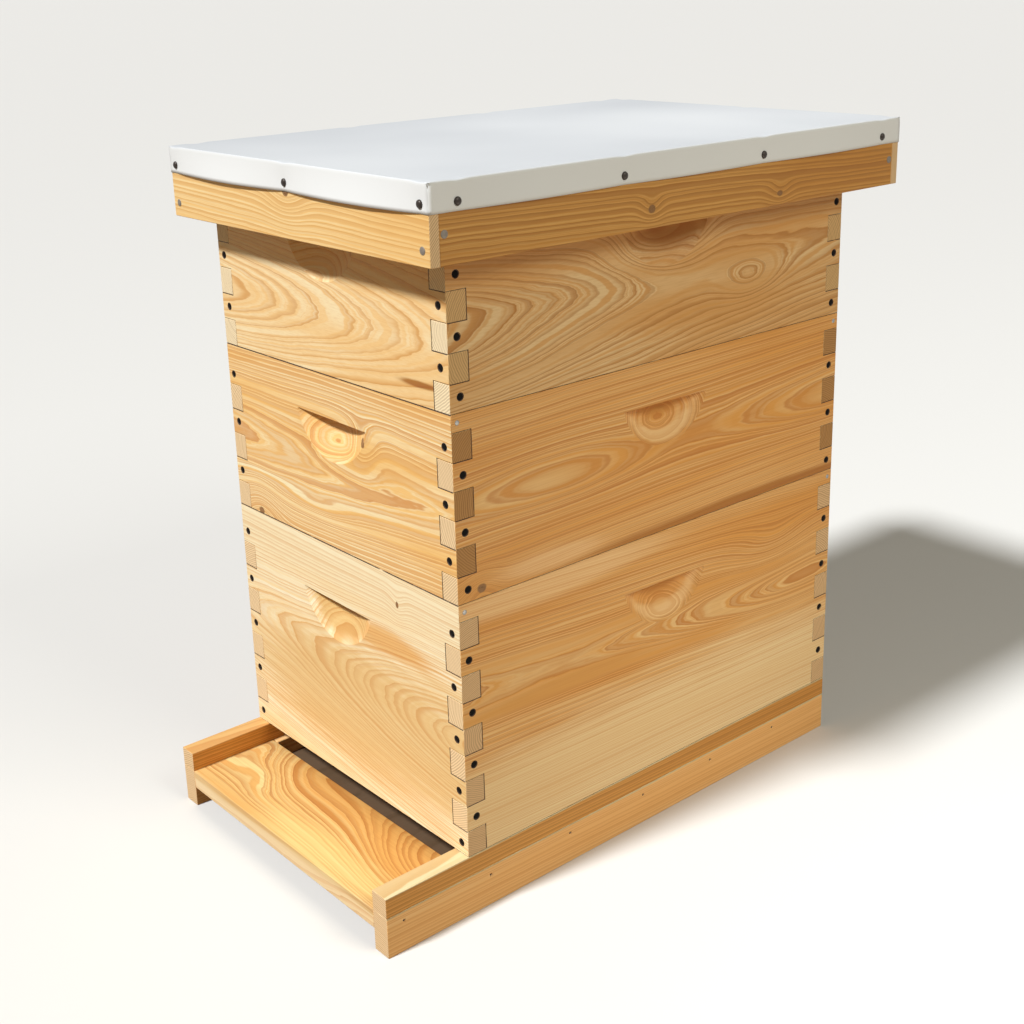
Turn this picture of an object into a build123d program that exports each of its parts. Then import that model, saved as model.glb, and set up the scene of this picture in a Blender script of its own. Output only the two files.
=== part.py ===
"""Eight-frame stacking beehive, built the way it comes apart on a bench.

From the ground up: a bottom board with a landing, a deep brood box, two medium supers, the frames that
hang in all three, an inner cover, and a telescoping lid under a folded metal sheet. The hive stands on Z = 0,
its front faces -Y, and the origin is below the middle of its bounding box.
"""

import os

from build123d import *

os.makedirs("parts", exist_ok=True)

# Driving dimensions, in millimetres
inch = 25.4

# Boxes: finger-jointed boards with a rest for the frames cut into the top of the end boards
box_width = 14 * inch
box_length = 19.875 * inch
board = 20.6
finger = inch
rest_height = 0.625 * inch
rest_lip = 9.5
deep_fingers = 9
medium_fingers = 6

# Grips: a scoop under a straight ledge, cut into every box board; the deep front one sits off centre
grip_outline_radius = 57.5
grip_ledge_below_centre = 16.0
grip_depth = 16.0
deep_end_grip_drop = 56.5
deep_side_grip_drop = 52.0
deep_front_grip_shift = 10.5
medium_grip_drop = 41.0

# Bottom board: two-layer rails, a landing between them, and a lower floor panel under cleats behind it
rail_width = 20.0
rail_height = 40.0
strip_height = 20.0
landing = 92.0
landing_tuck = 2.4
landing_thickness = 19.0
floor_panel_thickness = 6.0
floor_panel_lap = 20.0
cleat_width = 8.0
cleat_gap = 1.0

# Frames: top bar with lugs, two end bars, a bottom bar and a sheet of foundation
frame_count = 8
frame_pitch = 36.0
deep_frame_height = 9.125 * inch
medium_frame_height = 6.25 * inch
frame_length = 17.625 * inch
top_bar_length = 19 * inch
top_bar_width = 27.0
top_bar_height = 19.0
lug_height = 9.5
end_bar_width = 35.0
end_bar_waist = 28.6
end_bar_thickness = 9.5
end_bar_shoulder = 80.0
end_bar_taper = 12.0
bottom_bar_width = 19.0
bottom_bar_height = 9.5
foundation_thickness = 1.6
foundation_clearance = 1.0
groove_width = 3.2
groove_depth = 5.0

# Inner cover: a thin panel held in the groove of a low rim
inner_rim_width = 22.0
inner_rim_height = 15.0
inner_panel_thickness = 6.0
inner_panel_drop = 6.0
inner_tongue = 9.5
escape_length = 95.0
escape_width = 32.0
vent_width = 25.0
vent_height = 3.0

# Lid: a rim that telescopes over the top box, a panel on it, a metal sheet folded down over both
lid_side_overhang = 22.2
lid_front_overhang = 30.0
lid_back_overhang = 58.0
lid_rim = 19.0
lid_rim_height = 56.0
lid_rim_lip = 9.5
lid_panel_thickness = 9.5
sheet = 0.7
flange_height = 25.0

# Nails: six-sided heads on three-sided shanks, which the wood hides
nail_head = 7.0
nail_head_sides = 6
nail_head_height = 1.2
nail_proud = 0.4
nail_shank = 3.2
nail_shank_sides = 3
box_nail_length = 56.0
rim_nail_length = 40.0
finish_nail = 2.8
rail_nail_length = 27.0
rail_nail_first = 18.3
rail_nail_spacing = 98.5
rail_nail_count = 6
strip_nail_length = 36.0
strip_nail_count = 3
dome_nail_head = 8.5
dome_nail_crown = 4.8
dome_nail_height = 2.2
dome_nail_length = 22.0
rim_nail_inset = 9.5
rim_nail_low = 13.0
rim_nail_high = 25.0
sheet_nail_rise = 7.5
sheet_nail_end_inset = 10.0
sheet_nail_side_inset = 28.0

# Heights and places that follow from them
deep_height = rest_height + deep_fingers * finger
medium_height = rest_height + medium_fingers * finger
deep_base = rail_height + strip_height
middle_base = deep_base + deep_height
upper_base = middle_base + medium_height
inner_base = upper_base + medium_height
lid_panel_base = inner_base + inner_rim_height
lid_base = lid_panel_base - lid_rim_height
lid_width = box_width + 2 * lid_side_overhang
lid_length = box_length + lid_front_overhang + lid_back_overhang
lid_reach = lid_back_overhang + sheet + dome_nail_height
box_middle = (landing - lid_reach) / 2
lid_middle = box_middle + (lid_back_overhang - lid_front_overhang) / 2
rail_front = box_middle - box_length / 2 - landing
rail_length = landing + box_length
rail_middle = rail_front + rail_length / 2
floor_width = box_width - 2 * rail_width

FRONT, BACK, LEFT, RIGHT = (0, -1, 0), (0, 1, 0), (-1, 0, 0), (1, 0, 0)


def save(shape, name):
    """Labels a finished piece and writes it as a STEP file of its own."""
    shape.label = name
    export_step(shape, f"parts/{name}.step")


def upright_face(outward, width, length, middle, level):
    """Plane on an upright face of a layer of the stack: X runs level along it, Y up and Z into the wood."""
    inward = -Vector(outward)
    reach = length / 2 if outward in (FRONT, BACK) else width / 2
    origin = Vector(0, middle, level) - inward * reach
    return Plane(origin=origin, x_dir=Vector(0, 0, 1).cross(inward), z_dir=inward)


def box_face(outward, base):
    """Plane on the outer face of a box, at the height of the box's underside."""
    return upright_face(outward, box_width, box_length, box_middle, base)


def lid_face(outward, level):
    """Plane on the outer face of the lid's rim, at the given height."""
    return upright_face(outward, lid_width, lid_length, lid_middle, level)


# Corner-jointed boxes
def grip_scoop(face, ledge, shift):
    """Ball-shaped cutter for a grip, sliced flat along the ledge that the fingers pull on."""
    ball_radius = (grip_outline_radius**2 + grip_depth**2) / (2 * grip_depth)
    centre = Location((shift, ledge + grip_ledge_below_centre, grip_depth - ball_radius))
    ledge_plane = Plane.XY.offset(face.origin.Z + ledge)
    with BuildPart() as scoop:
        with Locations(face.location * centre):
            Sphere(ball_radius, rotation=(90, 0, 0))
        split(bisect_by=ledge_plane, keep=Keep.BOTTOM)
    return scoop.part


def top_edge(face, height):
    """Plane on the top edge of a box board: X runs along the board, Y into the wood and Z down."""
    return Plane(face.origin + Vector(0, 0, height), x_dir=face.x_dir, z_dir=(0, 0, -1))


def end_board(name, outward, base, fingers, grip_drop, grip_shift=0):
    """Front or back board: fingers below the frame rest, and the rest's lip mitred into the side boards."""
    height = rest_height + fingers * finger
    face = box_face(outward, base)
    scoop = grip_scoop(face, height - grip_drop, grip_shift)
    with BuildPart() as end:
        with BuildSketch(face):
            Rectangle(box_width, height, align=(Align.CENTER, Align.MIN))
            for step in range(1, fingers, 2):
                top = height - rest_height - step * finger
                for side in (-1, 1):
                    with Locations((side * (box_width - board) / 2, top - finger / 2)):
                        Rectangle(board, finger, mode=Mode.SUBTRACT)
        extrude(amount=board)
        with BuildSketch(face.offset(rest_lip)):
            with Locations((0, height)):
                Rectangle(box_width, rest_height, align=(Align.CENTER, Align.MAX))
        extrude(amount=board - rest_lip, mode=Mode.SUBTRACT)
        with BuildSketch(top_edge(face, height)):
            for side in (-1, 1):
                corner = side * box_width / 2
                lip = corner - side * rest_lip
                Polygon((corner, 0), (corner, rest_lip), (lip, rest_lip), align=None)
        extrude(amount=rest_height, mode=Mode.SUBTRACT)
        add(scoop, mode=Mode.SUBTRACT)
    save(end.part, name)


def side_board(name, outward, base, fingers, grip_drop):
    """Left or right board: fingers between those of the end boards, and a short one behind the mitred lip."""
    height = rest_height + fingers * finger
    face = box_face(outward, base)
    scoop = grip_scoop(face, height - grip_drop, 0)
    with BuildPart() as side_wall:
        with BuildSketch(face):
            Rectangle(box_length, height, align=(Align.CENTER, Align.MIN))
            for side in (-1, 1):
                for step in range(0, fingers, 2):
                    top = height - rest_height - step * finger
                    with Locations((side * (box_length - board) / 2, top - finger / 2)):
                        Rectangle(board, finger, mode=Mode.SUBTRACT)
        extrude(amount=board)
        with BuildSketch(top_edge(face, height)):
            for side in (-1, 1):
                corner = side * box_length / 2
                lip = corner - side * rest_lip
                Polygon((corner, 0), (corner, board), (lip, board), (lip, rest_lip), align=None)
        extrude(amount=rest_height, mode=Mode.SUBTRACT)
        add(scoop, mode=Mode.SUBTRACT)
    save(side_wall.part, name)


def flat_nail(length):
    """One nail along Z: the top of its head at Z = 0 and its shank running up from there."""
    with BuildPart() as one:
        with BuildSketch():
            RegularPolygon(nail_head / 2, nail_head_sides)
        extrude(amount=nail_head_height)
        with BuildSketch(Plane.XY.offset(nail_head_height)):
            RegularPolygon(nail_shank / 2, nail_shank_sides)
        extrude(amount=length - nail_head_height)
    return one.part


def box_nails(name, base, fingers):
    """A nail through every finger of the four corners, driven into the board that the finger laps."""
    height = rest_height + fingers * finger
    places = []
    for step in range(fingers):
        level = height - rest_height - (step + 0.5) * finger
        faces, across = ((FRONT, BACK), box_width) if step % 2 == 0 else ((LEFT, RIGHT), box_length)
        for outward in faces:
            face = box_face(outward, base).offset(-nail_proud)
            for side in (-1, 1):
                places.append(face.location * Location((side * (across - board) / 2, level, 0)))
    one = flat_nail(box_nail_length)
    with BuildPart() as nails:
        with Locations(*places):
            add(one)
    save(nails.part, name)


def wooden_box(name, base, fingers, end_grip_drop, side_grip_drop, front_grip_shift=0):
    """Four boards and the nails of one box."""
    end_board(f"{name}_front_board", FRONT, base, fingers, end_grip_drop, front_grip_shift)
    end_board(f"{name}_back_board", BACK, base, fingers, end_grip_drop)
    side_board(f"{name}_left_board", LEFT, base, fingers, side_grip_drop)
    side_board(f"{name}_right_board", RIGHT, base, fingers, side_grip_drop)
    box_nails(f"{name}_nails", base, fingers)


# Frames
def frame_bars(height):
    """The four bars of one frame about the Z axis, with the top of the top bar at Z = 0."""
    fork_depth = top_bar_height - lug_height
    with BuildPart() as top_bar:
        with BuildSketch(Plane.YZ):
            Rectangle(top_bar_length, lug_height, align=(Align.CENTER, Align.MAX))
            Rectangle(frame_length, top_bar_height, align=(Align.CENTER, Align.MAX))
        extrude(amount=top_bar_width / 2, both=True)
        with BuildSketch(Plane.XY.offset(-top_bar_height)):
            Rectangle(groove_width, frame_length - 2 * end_bar_thickness)
        extrude(amount=groove_depth, mode=Mode.SUBTRACT)
    with BuildPart() as end_bars:
        with BuildSketch(Plane.XZ.offset(frame_length / 2 - end_bar_thickness)):
            with BuildLine():
                Polyline(
                    (0, -lug_height),
                    (end_bar_width / 2, -lug_height),
                    (end_bar_width / 2, -end_bar_shoulder),
                    (end_bar_waist / 2, -end_bar_shoulder - end_bar_taper),
                    (end_bar_waist / 2, -height),
                    (0, -height),
                    close=True,
                )
            make_face()
            mirror(about=Plane.YZ)
            with Locations((0, -lug_height)):
                Rectangle(top_bar_width, fork_depth, align=(Align.CENTER, Align.MAX), mode=Mode.SUBTRACT)
            with Locations((0, -height)):
                Rectangle(
                    bottom_bar_width, bottom_bar_height, align=(Align.CENTER, Align.MIN), mode=Mode.SUBTRACT
                )
        extrude(amount=end_bar_thickness)
        mirror(about=Plane.XZ)
    with BuildPart() as bottom_bar:
        with BuildSketch(Plane.XY.offset(-height)):
            Rectangle(bottom_bar_width, frame_length)
        extrude(amount=bottom_bar_height)
    return top_bar.part.solids() + end_bars.part.solids() + bottom_bar.part.solids()


def hanging_frames(name, base, box_height, frame_height):
    """The frames of one box, lugs on the rests, and the sheets of foundation between their bars."""
    frame_top = base + box_height - rest_height + lug_height
    bars = Compound(frame_bars(frame_height))
    for index in range(frame_count):
        across = (index - (frame_count - 1) / 2) * frame_pitch
        save(bars.moved(Location((across, box_middle, frame_top))), f"{name}_frame_{index + 1}")
    lowest = frame_top - frame_height + bottom_bar_height
    highest = frame_top - top_bar_height + groove_depth - foundation_clearance
    sheet_length = frame_length - 2 * (end_bar_thickness + foundation_clearance)
    with BuildPart() as foundation:
        with BuildSketch(Plane((0, box_middle, lowest))):
            with GridLocations(frame_pitch, 0, frame_count, 1):
                Rectangle(foundation_thickness, sheet_length)
        extrude(amount=highest - lowest)
    save(foundation.part, f"{name}_foundation")


# Bottom board
def bottom_board():
    """Rails on the ground, strips on them, the landing in between and a lower floor panel behind it."""
    for name, side in (("left", -1), ("right", 1)):
        across = side * (box_width - rail_width) / 2
        with BuildPart() as rail:
            with BuildSketch(Plane((across, rail_middle, 0))):
                Rectangle(rail_width, rail_length)
            extrude(amount=rail_height)
        save(rail.part, f"{name}_rail")
        with BuildPart() as strip:
            with BuildSketch(Plane((across, rail_middle, rail_height))):
                Rectangle(rail_width, rail_length)
            extrude(amount=strip_height)
        save(strip.part, f"{name}_rail_strip")

    low_edge = (Align.CENTER, Align.MIN)
    floor_top = rail_height - landing_thickness
    rail_back = rail_front + rail_length
    landing_depth = landing + landing_tuck
    with BuildPart() as landing_board:
        with BuildSketch(Plane((0, rail_front, floor_top))):
            Rectangle(floor_width, landing_depth, align=low_edge)
        extrude(amount=landing_thickness)
    save(landing_board.part, "landing_board")

    panel_front = rail_front + landing_depth - floor_panel_lap
    with BuildPart() as panel:
        with BuildSketch(Plane((0, panel_front, floor_top))):
            Rectangle(floor_width, rail_back - panel_front, align=low_edge)
        extrude(amount=-floor_panel_thickness)
    save(panel.part, "floor_panel")

    rear_front = rail_back - rail_width
    cleat_front = rail_front + landing_depth + cleat_gap
    with BuildPart() as cleats:
        with BuildSketch(Plane((0, cleat_front, floor_top))):
            for side in (-1, 1):
                with Locations((side * (floor_width - cleat_width) / 2, 0)):
                    Rectangle(cleat_width, rear_front - cleat_gap - cleat_front, align=low_edge)
        extrude(amount=landing_thickness)
        with BuildSketch(Plane((0, rear_front, floor_top))):
            Rectangle(floor_width, rail_width, align=low_edge)
        extrude(amount=landing_thickness + strip_height)
    save(cleats.part, "floor_cleats")

    rail_places = []
    strip_places = []
    for outward, side in ((LEFT, -1), (RIGHT, 1)):
        face = box_face(outward, floor_top + landing_thickness / 2)
        for index in range(rail_nail_count):
            along = rail_front + rail_nail_first + index * rail_nail_spacing
            rail_places.append(face.location * Location((side * (box_middle - along), 0, 0)))
        for index in range(strip_nail_count):
            along = rail_front + (index + 0.5) * rail_length / strip_nail_count
            strip_top = Plane((side * (box_width - rail_width) / 2, along, deep_base), z_dir=(0, 0, -1))
            strip_places.append(strip_top.location)
    low_end = (Align.CENTER, Align.CENTER, Align.MIN)
    with BuildPart() as nails:
        with Locations(*rail_places):
            Box(finish_nail, finish_nail, rail_nail_length, align=low_end)
        with Locations(*strip_places):
            Box(finish_nail, finish_nail, strip_nail_length, align=low_end)
    save(nails.part, "bottom_board_nails")


# Inner cover
def inner_cover():
    """Thin panel with an oblong escape hole, tongued into a rim of two long and two short strips."""
    panel_base = inner_base + inner_rim_height - inner_panel_drop - inner_panel_thickness / 2
    panel_trim = 2 * (inner_rim_width - inner_tongue)
    with BuildPart() as panel:
        with BuildSketch(Plane((0, box_middle, panel_base))):
            Rectangle(box_width - panel_trim, box_length - panel_trim)
            SlotOverall(escape_length, escape_width, rotation=90, mode=Mode.SUBTRACT)
        extrude(amount=inner_panel_thickness)
    save(panel.part, "inner_cover_panel")

    groove_base = panel_base - inner_base
    front = box_middle - box_length / 2
    inner_width = box_width - 2 * inner_rim_width
    with BuildPart() as side_rims:
        with BuildSketch(Plane.XZ.offset(-box_middle - box_length / 2)):
            with Locations((box_width / 2, inner_base)):
                Rectangle(inner_rim_width, inner_rim_height, align=(Align.MAX, Align.MIN))
            with Locations((box_width / 2 - inner_rim_width, inner_base + groove_base)):
                Rectangle(
                    inner_tongue, inner_panel_thickness, align=(Align.MIN, Align.MIN), mode=Mode.SUBTRACT
                )
        extrude(amount=box_length)
        mirror(about=Plane.YZ)
    with BuildPart() as end_rims:
        with BuildSketch(Plane.YZ.offset(-inner_width / 2)):
            with Locations((front, inner_base)):
                Rectangle(inner_rim_width, inner_rim_height, align=(Align.MIN, Align.MIN))
            with Locations((front + inner_rim_width, inner_base + groove_base)):
                Rectangle(
                    inner_tongue, inner_panel_thickness, align=(Align.MAX, Align.MIN), mode=Mode.SUBTRACT
                )
        extrude(amount=inner_width)
        mirror(about=Plane.XZ.offset(-box_middle))
        with BuildSketch(Plane((0, front + inner_rim_width / 2, inner_base + inner_rim_height))):
            Rectangle(vent_width, inner_rim_width)
        extrude(amount=-vent_height, mode=Mode.SUBTRACT)
    save(Compound(side_rims.part.solids() + end_rims.part.solids()), "inner_cover_rims")


# Lid
def lid_rim_boards():
    """Rim of the lid: the end boards lap the side boards with a rabbet, so only a lip shows at the corner."""
    for name, outward in (("front", FRONT), ("back", BACK)):
        face = lid_face(outward, lid_base)
        with BuildPart() as end:
            with BuildSketch(face):
                Rectangle(lid_width, lid_rim_height, align=(Align.CENTER, Align.MIN))
            extrude(amount=lid_rim)
            with BuildSketch(face.offset(lid_rim_lip)):
                for side in (-1, 1):
                    with Locations((side * (lid_width - lid_rim) / 2, 0)):
                        Rectangle(lid_rim, lid_rim_height, align=(Align.CENTER, Align.MIN))
            extrude(amount=lid_rim - lid_rim_lip, mode=Mode.SUBTRACT)
        save(end.part, f"lid_{name}_rim")
    for name, outward in (("left", LEFT), ("right", RIGHT)):
        with BuildPart() as side_wall:
            with BuildSketch(lid_face(outward, lid_base)):
                Rectangle(lid_length - 2 * lid_rim_lip, lid_rim_height, align=(Align.CENTER, Align.MIN))
            extrude(amount=lid_rim)
        save(side_wall.part, f"lid_{name}_rim")


def lid_cover():
    """Wooden panel on the rim, and the metal sheet folded down over its edges."""
    with BuildPart() as panel:
        with BuildSketch(Plane((0, lid_middle, lid_panel_base))):
            Rectangle(lid_width, lid_length)
        extrude(amount=lid_panel_thickness)
    save(panel.part, "lid_panel")
    sheet_top = lid_panel_base + lid_panel_thickness + sheet
    with BuildPart() as folded:
        with BuildSketch(Plane((0, lid_middle, sheet_top - flange_height))):
            Rectangle(lid_width + 2 * sheet, lid_length + 2 * sheet)
        extrude(amount=flange_height)
        offset(amount=-sheet, openings=folded.faces().sort_by(Axis.Z)[0])
    save(folded.part, "lid_sheet")


def lid_nails():
    """Nails at the corners of the rim, and broad domed nails that hold the sheet's flanges."""
    rim_places = []
    sheet_places = []
    flange_level = lid_panel_base + lid_panel_thickness + sheet - flange_height
    for outward in (FRONT, BACK, LEFT, RIGHT):
        if outward in (FRONT, BACK):
            across, level, count = lid_width, rim_nail_low, 3
            rim_inset, sheet_inset = rim_nail_inset, sheet_nail_end_inset
        else:
            across, level, count = lid_length, rim_nail_high, 4
            rim_inset, sheet_inset = rim_nail_inset + lid_rim_lip / 2, sheet_nail_side_inset
        rim_face = lid_face(outward, lid_base).offset(-nail_proud)
        for side in (-1, 1):
            rim_places.append(rim_face.location * Location((side * (across / 2 - rim_inset), level, 0)))
        flange = lid_face(outward, flange_level + sheet_nail_rise).offset(-sheet - dome_nail_height)
        spacing = (across - 2 * sheet_inset) / (count - 1)
        for index in range(count):
            sheet_places.append(flange.location * Location(((index - (count - 1) / 2) * spacing, 0, 0)))
    with BuildPart() as rim_nails:
        with Locations(*rim_places):
            add(flat_nail(rim_nail_length))
    save(rim_nails.part, "lid_rim_nails")

    with BuildPart() as dome_nail:
        with BuildSketch():
            RegularPolygon(dome_nail_crown / 2, nail_head_sides)
        with BuildSketch(Plane.XY.offset(dome_nail_height)):
            RegularPolygon(dome_nail_head / 2, nail_head_sides)
        loft(ruled=True)
        with BuildSketch(Plane.XY.offset(dome_nail_height)):
            RegularPolygon(nail_shank / 2, nail_shank_sides)
        extrude(amount=dome_nail_length)
    with BuildPart() as sheet_nails:
        with Locations(*sheet_places):
            add(dome_nail.part)
    save(sheet_nails.part, "lid_sheet_nails")


bottom_board()
wooden_box("deep", deep_base, deep_fingers, deep_end_grip_drop, deep_side_grip_drop, deep_front_grip_shift)
wooden_box("middle_super", middle_base, medium_fingers, medium_grip_drop, medium_grip_drop)
wooden_box("upper_super", upper_base, medium_fingers, medium_grip_drop, medium_grip_drop)
hanging_frames("deep", deep_base, deep_height, deep_frame_height)
hanging_frames("middle_super", middle_base, medium_height, medium_frame_height)
hanging_frames("upper_super", upper_base, medium_height, medium_frame_height)
inner_cover()
lid_rim_boards()
lid_cover()
lid_nails()
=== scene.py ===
import math
import random

import bmesh
import bpy
from mathutils import Matrix, Vector, noise


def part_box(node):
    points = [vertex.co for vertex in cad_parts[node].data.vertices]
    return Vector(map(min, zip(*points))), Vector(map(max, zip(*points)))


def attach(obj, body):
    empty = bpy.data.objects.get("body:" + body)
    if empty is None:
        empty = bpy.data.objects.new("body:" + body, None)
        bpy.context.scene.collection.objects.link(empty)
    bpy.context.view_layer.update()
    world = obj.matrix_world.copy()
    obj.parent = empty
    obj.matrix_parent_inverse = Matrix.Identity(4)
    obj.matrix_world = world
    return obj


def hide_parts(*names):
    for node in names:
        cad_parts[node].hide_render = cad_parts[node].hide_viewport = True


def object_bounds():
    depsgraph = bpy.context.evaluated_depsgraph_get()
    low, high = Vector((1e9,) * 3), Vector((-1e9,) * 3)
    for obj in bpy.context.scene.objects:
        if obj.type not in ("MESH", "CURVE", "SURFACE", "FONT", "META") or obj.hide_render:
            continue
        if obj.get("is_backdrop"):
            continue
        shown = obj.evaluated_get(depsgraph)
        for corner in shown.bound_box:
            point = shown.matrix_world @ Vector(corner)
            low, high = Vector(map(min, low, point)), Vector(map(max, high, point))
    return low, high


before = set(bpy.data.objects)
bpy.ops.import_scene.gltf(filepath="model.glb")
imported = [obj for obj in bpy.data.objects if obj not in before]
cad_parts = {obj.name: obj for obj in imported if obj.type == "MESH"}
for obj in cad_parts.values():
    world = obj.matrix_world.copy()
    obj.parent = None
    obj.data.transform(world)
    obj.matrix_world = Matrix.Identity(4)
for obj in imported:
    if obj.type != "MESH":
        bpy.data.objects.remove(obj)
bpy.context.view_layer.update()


# Rails of the bottom board
# Two lengths of planed pine on each side, a strip lying on a rail, which carry the hive
# off the ground. They are sawn square, with their arrises just taken off.
def feed(tree, node, sockets):
    """Gives a shader node's inputs their plain values, or the outputs that feed them."""
    for key, value in sockets.items():
        if isinstance(value, bpy.types.NodeSocket):
            tree.links.new(value, node.inputs[key])
        else:
            node.inputs[key].default_value = value


def wire(tree, kind, sockets, **settings):
    """Adds a shader node and feeds its sockets."""
    made = tree.nodes.new("ShaderNode" + kind)
    for key, value in settings.items():
        setattr(made, key, value)
    feed(tree, made, sockets)
    return made


def calc(tree, operation, *values):
    """One Math node on the given values and outputs."""
    return wire(tree, "Math", dict(enumerate(values)), operation=operation).outputs[0]


def step_between(tree, value, low, high):
    """Smooth step from 0 at low to 1 at high."""
    sockets = {"Value": value, "From Min": low, "From Max": high}
    return wire(tree, "MapRange", sockets, interpolation_type="SMOOTHSTEP").outputs["Result"]


def tint(tree, share, first, second, blend="MIX"):
    """Mixes two colours."""
    sockets = {"Factor": share, 6: first, 7: second}
    return wire(tree, "Mix", sockets, data_type="RGBA", blend_type=blend).outputs[2]


def new_group(name, inputs, outputs):
    """An empty shader node group with the named sockets, and its two end nodes."""
    group = bpy.data.node_groups.new(name, "ShaderNodeTree")
    for in_out, sockets in (("INPUT", inputs), ("OUTPUT", outputs)):
        for socket, kind in sockets.items():
            group.interface.new_socket(socket, in_out=in_out, socket_type="NodeSocket" + kind)
    return group, group.nodes.new("NodeGroupInput").outputs, group.nodes.new("NodeGroupOutput").inputs


def stretched_noise(tree, vector, stretch, seed, detail):
    """Noise whose grain is drawn out along the log."""
    scaled = wire(tree, "VectorMath", {0: vector, 1: stretch}, operation="MULTIPLY").outputs[0]
    sockets = {"Vector": scaled, "W": seed, "Scale": 1.0, "Detail": detail, "Roughness": 0.5}
    return wire(tree, "TexNoise", sockets, noise_dimensions="4D").outputs


def noise_along(tree, value, detail):
    """Noise that changes with one value only."""
    sockets = {"W": value, "Scale": 1.0, "Detail": detail}
    return wire(tree, "TexNoise", sockets, noise_dimensions="1D").outputs["Fac"]


def speckle(tree, vector, scale, detail):
    """Noise that is the same in every direction."""
    return wire(tree, "TexNoise", {"Vector": vector, "Scale": scale, "Detail": detail}).outputs["Fac"]


def sway(tree, vector, stretch, seed, reach):
    """Pushes the points of a log about, up to about half the reach."""
    push = stretched_noise(tree, vector, stretch, seed, 2.0)["Color"]
    centred = wire(tree, "VectorMath", {0: push, 1: (0.5, 0.5, 0.5)}, operation="SUBTRACT").outputs[0]
    scaled = wire(tree, "VectorMath", {0: centred, "Scale": reach}, operation="SCALE").outputs[0]
    return wire(tree, "VectorMath", {0: vector, 1: scaled}, operation="ADD").outputs[0]


def make_growth_rings():
    """Growth rings of a log whose pith runs along X: the saw lays them open as arches, stripes or arcs."""
    tree, given, out = new_group(
        "growth_rings",
        {
            "Log": "Vector", "Ring Width": "Float", "Early Wood": "Float", "Wave": "Float", "Seed": "Float",
            "Swell": "Float",
        },
        {
            "Band": "Float", "Line": "Float", "Hair": "Float", "End Lines": "Float", "Radius": "Float",
            "Fibre": "Float", "Tone": "Float",
        },
    )
    ring, seed = given["Ring Width"], given["Seed"]
    bent = sway(tree, given["Log"], (1.6, 7.0, 7.0), seed, given["Wave"])
    rippled = sway(tree, bent, (9.0, 60.0, 60.0), seed, calc(tree, "MULTIPLY", ring, 0.6))
    jagged = sway(tree, rippled, (30.0, 170.0, 170.0), seed, calc(tree, "MULTIPLY", ring, 0.4))
    across = wire(tree, "VectorMath", {0: jagged, 1: (0.0, 1.0, 1.0)}, operation="MULTIPLY").outputs[0]
    radius = wire(tree, "VectorMath", {0: across}, operation="LENGTH").outputs["Value"]
    radius = calc(tree, "ADD", radius, given["Swell"])
    tree.links.new(radius, out["Radius"])

    years = calc(tree, "DIVIDE", radius, ring)
    uneven = noise_along(tree, calc(tree, "MULTIPLY", years, 0.35), 1.0)
    years = calc(tree, "ADD", years, calc(tree, "MULTIPLY", uneven, 2.6))
    season = calc(tree, "FRACT", years)
    year = wire(tree, "TexWhiteNoise", {"W": calc(tree, "FLOOR", years)}, noise_dimensions="1D").outputs
    pair = wire(tree, "SeparateColor", {"Color": year["Color"]}).outputs
    winter = calc(tree, "SUBTRACT", 1.0, step_between(tree, season, 0.94, 1.0))
    summer = calc(tree, "ADD", given["Early Wood"], 0.42)
    band = calc(tree, "MULTIPLY", step_between(tree, season, given["Early Wood"], summer), winter)
    band_strength = calc(tree, "MULTIPLY_ADD", pair["Red"], 0.6, 0.4)
    tree.links.new(calc(tree, "MULTIPLY", band, band_strength), out["Band"])
    line = calc(tree, "MULTIPLY", step_between(tree, season, 0.78, 0.92), winter)
    line_strength = calc(tree, "MULTIPLY_ADD", pair["Green"], 0.75, 0.25)
    tree.links.new(calc(tree, "MULTIPLY", line, line_strength), out["Line"])

    hair = noise_along(tree, calc(tree, "MULTIPLY", years, 3.4), 2.0)
    tree.links.new(step_between(tree, hair, 0.36, 0.66), out["Hair"])
    end_ring_width = 0.0021
    end_rings = calc(tree, "SINE", calc(tree, "MULTIPLY", radius, 2 * math.pi / end_ring_width))
    tree.links.new(step_between(tree, end_rings, -0.6, 0.9), out["End Lines"])
    fibre = stretched_noise(tree, rippled, (14.0, 800.0, 800.0), seed, 2.0)["Fac"]
    tree.links.new(fibre, out["Fibre"])
    tone = stretched_noise(tree, bent, (2.2, 26.0, 26.0), seed, 2.0)["Fac"]
    tree.links.new(tone, out["Tone"])
    return tree


def falloff(tree, vector, centre, reach):
    """Distance from a centre, as a share of the reach, and a bell that fades with it."""
    offset = wire(tree, "VectorMath", {0: vector, 1: centre}, operation="SUBTRACT").outputs[0]
    scaled = wire(tree, "VectorMath", {0: offset, 1: reach}, operation="DIVIDE").outputs[0]
    away = wire(tree, "VectorMath", {0: scaled}, operation="LENGTH").outputs["Value"]
    return away, calc(tree, "EXPONENT", calc(tree, "MULTIPLY", calc(tree, "POWER", away, 2.0), -1.0))


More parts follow.
